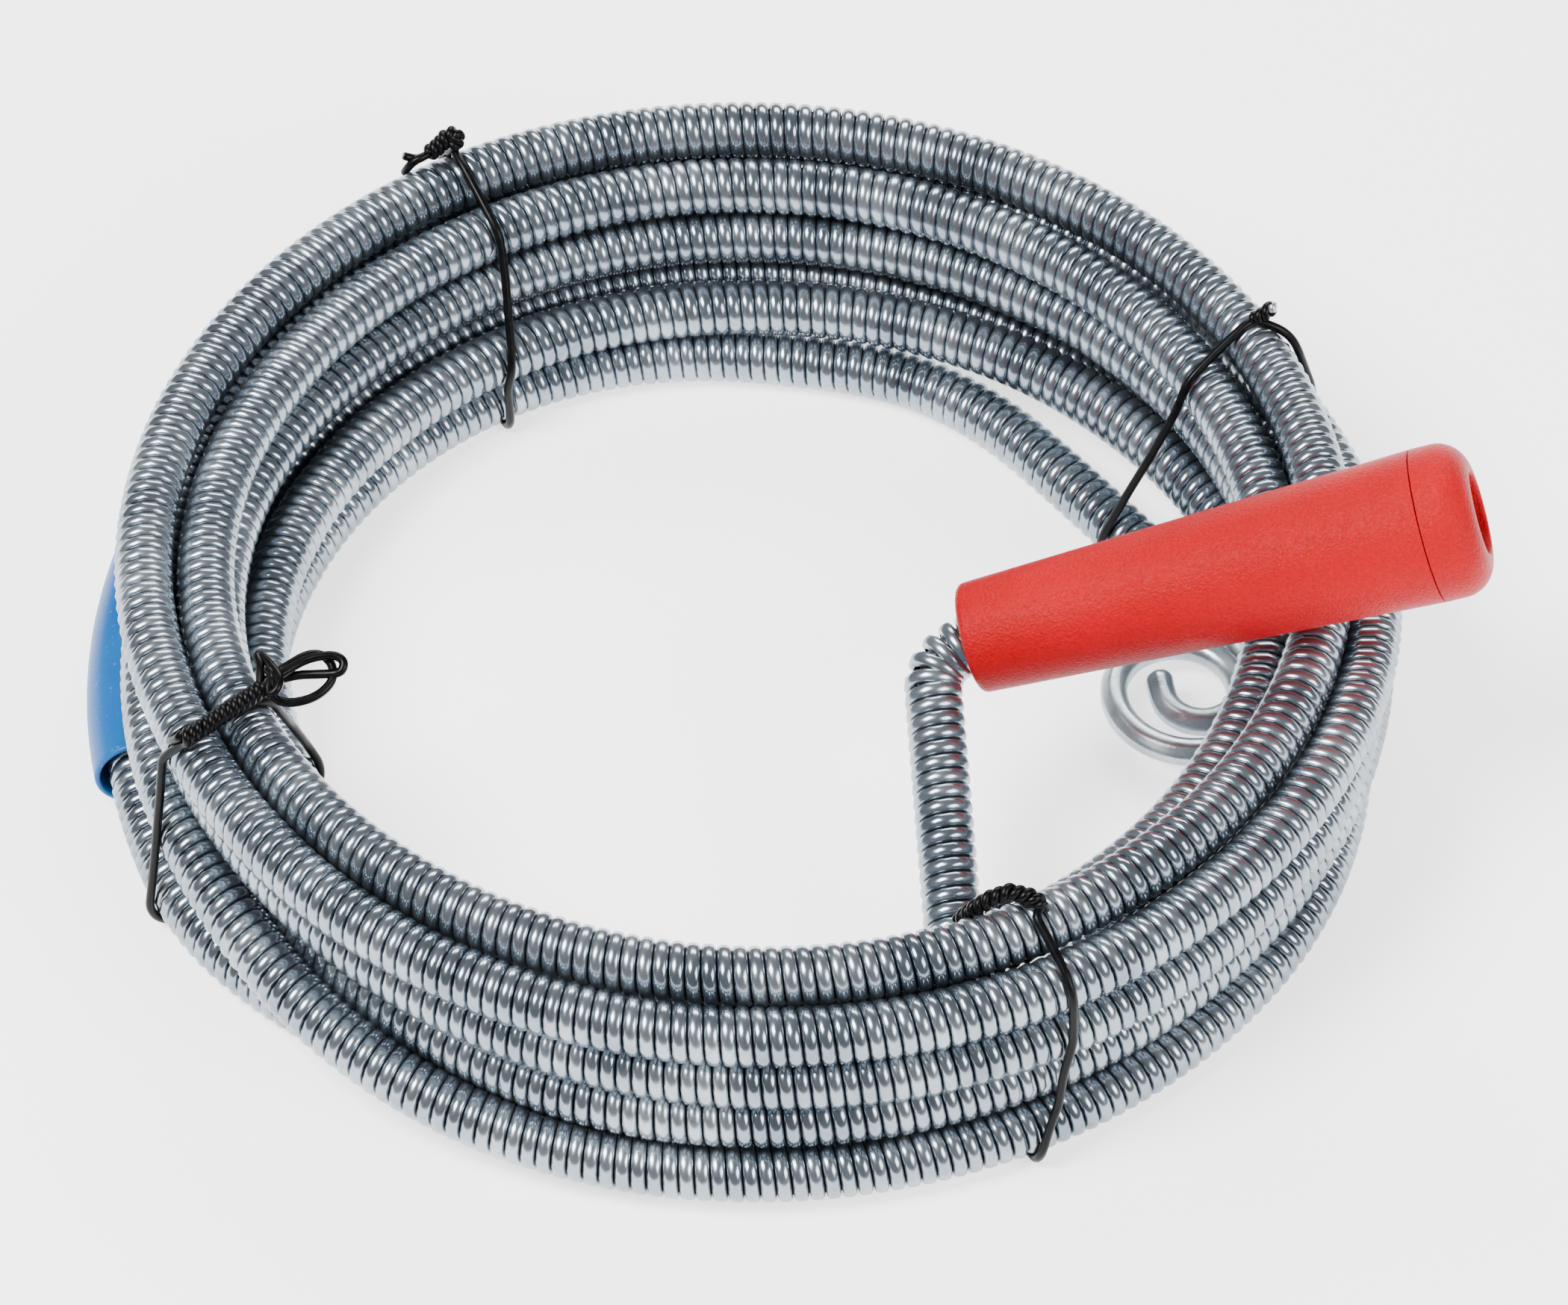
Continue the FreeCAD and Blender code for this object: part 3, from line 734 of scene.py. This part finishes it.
def make_grip():
    """The body and its end cap; a corner is (station, radius, rounding)."""
    body = turned_piece("grip_shell", [
        (GRIP_FACE, GRIP_BORE + 0.2, 0.5),
        (GRIP_FACE, GRIP_SMALL - 0.1, 1.3),
        (GRIP_JOINT - JOINT_GAP, GRIP_LARGE - 0.02, 0.12),
        (GRIP_JOINT - JOINT_GAP, SPIGOT, 0),
        (GRIP_JOINT - SPIGOT_LENGTH, SPIGOT, 0),
        (GRIP_JOINT - SPIGOT_LENGTH, END_HOLE, 0),
        (HOLE_FLOOR, END_HOLE, 0.3),
        (HOLE_FLOOR, GRIP_BORE, 0.3),
    ], red)
    neck_end = GRIP_JOINT - SPIGOT_LENGTH + SPIGOT_PLAY
    neck_radius = SPIGOT - SPIGOT_PLAY
    cap = turned_piece("grip_cap", [
        (GRIP_JOINT, GRIP_LARGE, 0.12),
        (GRIP_END, GRIP_LARGE, CAP_ROUNDING),
        (GRIP_END, END_HOLE, 0.55),
        (neck_end, END_HOLE, 0),
        (neck_end, neck_radius, 0),
        (GRIP_JOINT, neck_radius, 0),
    ], red)
    for piece, node in ((body, "grip_body"), (cap, "grip_end_cap")):
        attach(piece, "grip")
        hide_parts(node)


def make_shaft():
    """The part of the cable that stands inside the grip."""
    run = GRIP_INSIDE - SHAFT_END
    line = [along_grip(SHAFT_END + run * k / SHAFT_STEPS)[:] for k in range(SHAFT_STEPS + 1)]
    shaft = wound_cable("shaft_windings", np.array(line))
    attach(shaft, "coil")


# ------------------------------------------------------------------ the guide sleeve
SLEEVE_START, SLEEVE_END = 148.0, 192.0    # azimuths
SLEEVE_STEPS = 90
SLEEVE_AROUND = 64
RIM_STEPS = 6                 # across each softened rim


def make_sleeve():
    """A thin hose bent along its turn, cut square with softened rims."""
    rim = (SLEEVE_OUT - SLEEVE_IN) / 2
    rim_degrees = math.degrees(rim / SLEEVE_RING[0])
    stations = [SLEEVE_START + (SLEEVE_END - SLEEVE_START) * k / SLEEVE_STEPS
                for k in range(SLEEVE_STEPS + 1)]
    half_turn = [math.pi * k / RIM_STEPS for k in range(1, RIM_STEPS)]
    section = [(station, SLEEVE_OUT) for station in stations]
    section += [(SLEEVE_END + rim_degrees * math.sin(angle),
                 SLEEVE_IN + rim + rim * math.cos(angle)) for angle in half_turn]
    section += [(station, SLEEVE_IN) for station in reversed(stations)]
    section += [(SLEEVE_START - rim_degrees * math.sin(angle),
                 SLEEVE_IN + rim - rim * math.cos(angle)) for angle in half_turn]
    around = SLEEVE_AROUND
    vertices = []
    for azimuth, radius in section:
        angle = math.radians(azimuth)
        for k in range(around):
            turn = 2 * math.pi * k / around
            out = SLEEVE_RING[0] + radius * math.cos(turn)
            vertices.append(vec(out * math.cos(angle), out * math.sin(angle),
                                SLEEVE_RING[1] + radius * math.sin(turn)))
    count = len(section)
    faces = [tuple(f) for f in grid_faces(count, around, True)]
    last = (count - 1) * around
    faces += [(last + k, last + (k + 1) % around, (k + 1) % around, k) for k in range(around)]
    sleeve = make_mesh("guide_hose", vertices, faces, [blue])
    sharpen(sleeve, 60)
    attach(sleeve, "sleeve")
    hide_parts("guide_sleeve")


# ------------------------------------------------------------------ the ties
TIE_WIRE = 1.4
TIE_AROUND = 10
TIE_STEP = 0.3                # between the rings of a tie's wire
TIE_BITE = 0.1                # how far a tie sinks between the cable's windings
CUT_END = 0.75                # a cut end's width, as a share of the wire's
BAND_STEPS = 120
BAND_STEP = 1.0               # between the points of a band, once it is drawn tight
TWIST_STEP = 0.25             # between the points of a twisted end
BUNDLE_MIDDLE = (84.0, 19.0)  # radius and height about which a tie's turn is measured


def around_coil(azimuth, radius, height, sideways=0.0):
    """A point from its azimuth, radius and height, shifted along the turn."""
    angle = math.radians(azimuth)
    return vec(radius * math.cos(angle) - sideways * math.sin(angle),
               radius * math.sin(angle) + sideways * math.cos(angle), height)


def strands_at(azimuth):
    """Radius and height of every turn where it crosses an azimuth."""
    found = []
    for turn in range(len(TURNS)):
        rows = lanes[turn * STEPS:(turn + 1) * STEPS + 1]
        angles = [270 - 360 * k / STEPS for k in range(len(rows))]
        spot = azimuth if azimuth <= 270 else azimuth - 360
        if spot >= angles[-1]:
            found.append([np.interp(-spot, [-a for a in angles], [r[k] for r in rows])
                          for k in (1, 2)])
    return found


def band_line(azimuth, leans, extra):
    """A tight closed line round all turns and the extra strands, with its directions
    seen from the bundle's middle; leans are (direction, sideways) stations."""
    strands = strands_at(azimuth) + [list(place) for place in extra]
    reach = CABLE / 2 + TIE_WIRE / 2 - TIE_BITE
    outline = []
    for k in range(BAND_STEPS):
        angle = 2 * math.pi * k / BAND_STEPS
        normal = np.array((math.cos(angle), math.sin(angle)))
        outermost = max(strands, key=lambda s: s[0] * normal[0] + s[1] * normal[1])
        outline.append(np.array(outermost) + normal * reach)
    closed = np.array([(p[0], 0.0, p[1]) for p in outline + outline[:1]])
    outline = even_line(closed, BAND_STEP)[:-1]
    directions = [math.degrees(math.atan2(p[2] - BUNDLE_MIDDLE[1], p[0] - BUNDLE_MIDDLE[0])) % 360
                  for p in outline]
    keys = [key % 360 for key, _ in leans]
    order = sorted(range(len(keys)), key=lambda k: keys[k])
    sides = np.interp(directions, [keys[k] for k in order], [leans[k][1] for k in order],
                      period=360)
    points = []
    for (radius, _, height), side in zip(outline, sides):
        points.append((radius, max(height, TIE_WIRE / 2), side))
    return points, directions


def opened_at(points, directions, root):
    """The band's points from the root direction, once round and back to it."""
    gaps = [abs((d - root + 180) % 360 - 180) for d in directions]
    start = gaps.index(min(gaps))
    return points[start:] + points[:start + 1]


def twisted_pair(spine, turns, radius):
    """Two lines of (radius, height, sideways) that twist about a spine of such points."""
    line = even_line(np.array(spine, dtype=float), TWIST_STEP)
    _, sides, ups = frames_along(line)
    pair = []
    for phase in (0.0, math.pi):
        angle = phase + np.linspace(0.0, turns * 2 * math.pi, len(line))
        offset = sides * np.cos(angle)[:, None] + ups * np.sin(angle)[:, None]
        pair.append([tuple(p) for p in line + offset * radius])
    return pair


def wire_piece(name, lines, azimuth, bare):
    """One mesh of round coated wires; each line is (radius, height, sideways) points.

    The coating ends `bare` rings before each cut end; with 0 it covers the end too.
    """
    vertices = []
    faces = []
    coated = []
    around = TIE_AROUND
    radius = TIE_WIRE / 2 * MM
    for line in lines:
        points = [around_coil(azimuth, *p) for p in line]
        smooth = even_line(smooth_line(points, name + "_line"), TIE_STEP * MM)
        start = len(vertices)
        radii = np.full(len(smooth), radius)
        radii[0] = radii[-1] = radius * CUT_END
        vertices.extend(ring_tube(smooth, radii, around))
        faces.extend(tuple(f) for f in grid_faces(len(smooth), around, True) + start)
        faces.append(tuple(start + k for k in range(around))[::-1])
        last = start + (len(smooth) - 1) * around
        faces.append(tuple(last + k for k in range(around)))
        rings = np.arange(len(smooth) - 1)
        covered = (rings >= bare) & (rings < len(smooth) - 1 - bare)
        coated.extend(np.repeat(covered, around).tolist() + [bare == 0] * 2)
    tie = make_mesh(name, vertices, faces, [black, head_zinc],
                    [0 if cover else 1 for cover in coated])
    sharpen(tie, 50)
    return tie


# Each tie's azimuth; how far its band leans sideways, by direction round the
# bundle; the direction of its knot; the spine of its twisted ends as (radius,
# height, sideways) points, their turns and radius; loose ends and loops, as lines
# of their own; whether the cable's tail is in the band too; and how many rings of
# bare metal show at the cut ends.
TIE_TABLE = {
    "tie_back_left": dict(
        azimuth=121.0,
        leans=[(0, 0.5), (60, 0.0), (110, 0.0), (150, 1.8), (180, 3.2), (205, 5.4), (260, 4.0),
               (320, 1.0)],
        knot=66.0,
        spine=[(93.8, 40.8, -0.4), (94.8, 42.2, -1.4), (95.3, 42.3, -0.2), (95.0, 41.2, 1.6),
               (95.0, 40.3, 3.6)],
        turns=3.5, radius=0.85,
        ends=[
            [(95.0, 40.3, 3.4), (94.7, 40.5, 5.0), (95.0, 40.0, 6.4), (95.4, 38.6, 7.4),
             (96.0, 37.2, 7.6)],
            [(95.6, 39.6, 3.6), (95.6, 39.4, 4.8), (95.8, 39.9, 6.2), (96.5, 40.6, 7.4)],
        ]),
    "tie_back_right": dict(
        azimuth=30.0,
        leans=[(0, -8.5), (60, -6.0), (72, -3.5), (80, -0.8), (96, -1.4), (137, -3.2),
               (173, -3.0), (211, -2.1), (270, -4.0), (320, -7.0)],
        knot=79.0,
        spine=[(88.1, 40.4, -1.0), (89.2, 41.6, -1.7), (91.0, 43.0, -2.0)],
        turns=1.5, radius=0.62,
        ends=[],
        beside=True, bare=3),
    "tie_front_left": dict(
        azimuth=204.0,
        leans=[(0, 3.5), (35, 2.6), (53, 1.7), (70, 1.5), (110, -1.0), (139, -3.5), (180, -4.5),
               (240, -1.0), (300, 4.5), (330, 4.2)],
        knot=56.0,
        spine=[(94.6, 40.2, 4.0), (91.5, 41.4, 4.0), (87.5, 41.9, 3.0), (83.5, 42.2, 2.0),
               (80.5, 42.6, 1.2)],
        turns=7.0, radius=0.85,
        ends=[
            [(81.0, 42.4, 1.0), (79.6, 43.6, -1.6), (79.4, 43.4, -4.6), (78.7, 43.2, -4.2),
             (78.3, 44.2, -1.2), (78.0, 44.4, 2.0), (79.2, 43.8, 3.6), (80.6, 43.0, 3.4),
             (79.8, 43.8, 1.4), (77.6, 44.0, 1.1), (73.8, 44.6, 0.4), (71.4, 45.0, 0.9),
             (69.2, 45.0, 1.6), (68.2, 44.5, 2.9), (69.0, 43.8, 4.0), (70.0, 43.2, 3.6),
             (72.8, 42.7, 2.0), (75.4, 42.6, 0.9), (78.0, 42.4, 0.6)],
            [(80.5, 42.2, 0.4), (78.0, 43.4, 0.0), (76.3, 43.9, -0.1), (73.3, 44.1, -0.8),
             (71.6, 44.1, -0.6), (70.3, 43.7, 0.1), (69.8, 43.3, 1.6), (70.1, 42.9, 3.2),
             (71.1, 42.3, 4.4), (73.3, 41.7, 5.2), (75.7, 41.4, 5.2), (78.3, 41.4, 4.5),
             (79.8, 42.0, 3.4), (79.4, 43.4, 2.2), (78.6, 44.3, 0.4), (79.2, 43.9, -0.8)],
        ]),
    "tie_front_right": dict(
        azimuth=298.0,
        leans=[(0, -1.7), (21, 0.0), (66, 0.5), (91, 0.0), (140, -0.8), (180, -1.5), (260, -6.0),
               (315, -6.0), (337, -2.8)],
        knot=90.0,
        spine=[(84.3, 40.5, 1.9), (82.6, 41.4, 0.4), (80.9, 41.8, -1.8), (80.0, 40.8, -4.2),
               (79.0, 38.6, -6.2), (77.9, 36.2, -7.3), (77.2, 34.4, -7.8)],
        turns=5.5, radius=0.72,
        ends=[]),
}


def tail_at(azimuth):
    """Radius and height of the cable's tail where it crosses an azimuth."""
    angles = [-math.degrees(math.atan2(y, x)) for x, y, _ in TAIL]
    radii = [math.hypot(x, y) for x, y, _ in TAIL]
    return (float(np.interp(-azimuth, angles, radii)), TAIL[0][2])


def make_tie(name, azimuth, leans, knot, spine, turns, radius, ends, beside=False, bare=0):
    """One wire from a twisted end, round the turns, and back into the twist."""
    extra = [tail_at(azimuth)] if beside else []
    points, directions = band_line(azimuth, leans, extra)
    band = opened_at(points, directions, knot)
    one, other = twisted_pair(spine, turns, radius)
    # every other point of the band is enough for its smooth line
    lines = [one[::-1] + band[1:-1:2] + other] + ends
    tie = wire_piece(name + "_wire", lines, azimuth, bare)
    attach(tie, "coil")
    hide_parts(name)


head = make_head()
make_grip()
make_shaft()
make_sleeve()
for tie_name, tie_facts in TIE_TABLE.items():
    make_tie(tie_name, **tie_facts)
# the carried-over solids inside the crank and the grip
for node in ("crank_core", "grip_washer", "core_lock"):
    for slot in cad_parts[node].material_slots:
        slot.material = core_steel

# ------------------------------------------------------------------ stage


def make_floor():
    """A pale plane three metres across."""
    size = 3.0
    steps = 24
    rows = []
    for index in range(steps + 1):
        for side in range(steps + 1):
            rows.append((size * (side / steps - 0.5), size * (index / steps - 0.5), 0.0))
    floor = make_mesh("studio_floor", rows, grid_faces(steps + 1, steps + 1, False),
                      [floor_material()])


def make_light(name, place, size, power):
    """A soft rectangular lamp that faces the coil."""
    data = bpy.data.lights.new(name, "AREA")
    data.shape = "RECTANGLE"
    data.size = size[0]
    data.size_y = size[1]
    data.energy = power
    lamp = bpy.data.objects.new(name, data)
    bpy.context.collection.objects.link(lamp)
    lamp.location = place
    aim = Vector((0.0, 0.0, 0.02)) - Vector(place)
    lamp.rotation_euler = aim.to_track_quat("-Z", "Y").to_euler()


def make_world():
    world = bpy.data.worlds.new("studio")
    world.use_nodes = True
    background = world.node_tree.nodes["Background"]
    background.inputs["Color"].default_value = (1.0, 1.0, 1.0, 1.0)
    background.inputs["Strength"].default_value = 0.3
    bpy.context.scene.world = world


make_floor()
make_light("key", (-0.55, -0.25, 0.95), (0.5, 0.5), 28.0)
make_light("fill", (0.75, -0.55, 0.65), (0.6, 0.5), 13.0)
make_light("back", (0.1, 0.9, 0.7), (0.8, 0.3), 13.0)
make_world()
